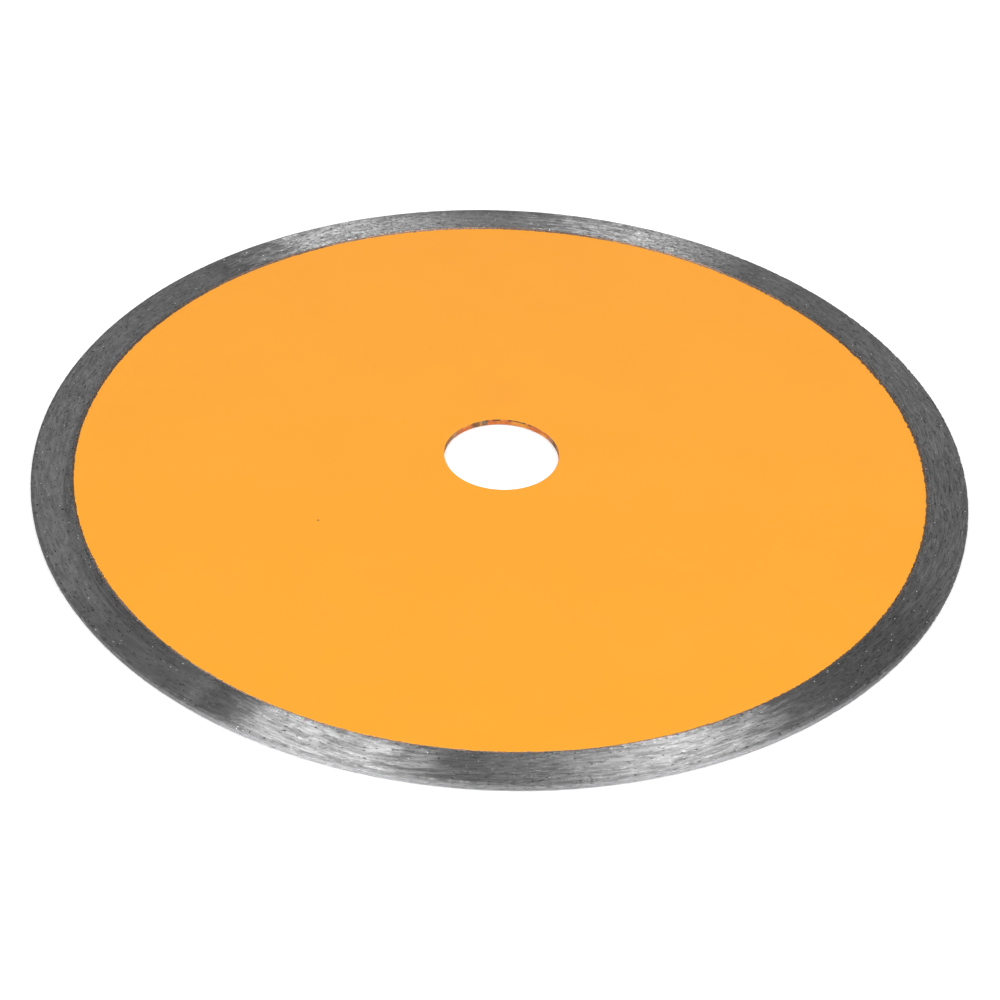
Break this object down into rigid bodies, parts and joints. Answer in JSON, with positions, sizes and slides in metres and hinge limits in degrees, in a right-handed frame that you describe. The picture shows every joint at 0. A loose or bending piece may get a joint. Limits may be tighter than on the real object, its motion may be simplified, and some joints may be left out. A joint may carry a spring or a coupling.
{
  "type": "diamond cutting disc",
  "caption": "Flat round painted steel disc with a central arbor bore and a continuous sintered diamond rim, for cutting tile and stone.",
  "frame": {"origin": "middle of the arbor bore, on the disc's mid-plane", "axes": "+Z along the bore axis; the disc lies flat in the XY plane and both faces are alike"},
  "size_m": [0.18, 0.18, 0.0016],
  "materials": {
    "painted_blank": "smooth yellow-orange paint on sheet steel, bare at the bore wall",
    "sintered_rim": "sintered metal matrix with diamond grit, ground on its sides in fine circular lines"
  },
  "bodies": {
    "root": {"steel_core": "painted_blank", "diamond_rim": "sintered_rim"}
  },
  "joints": []
}
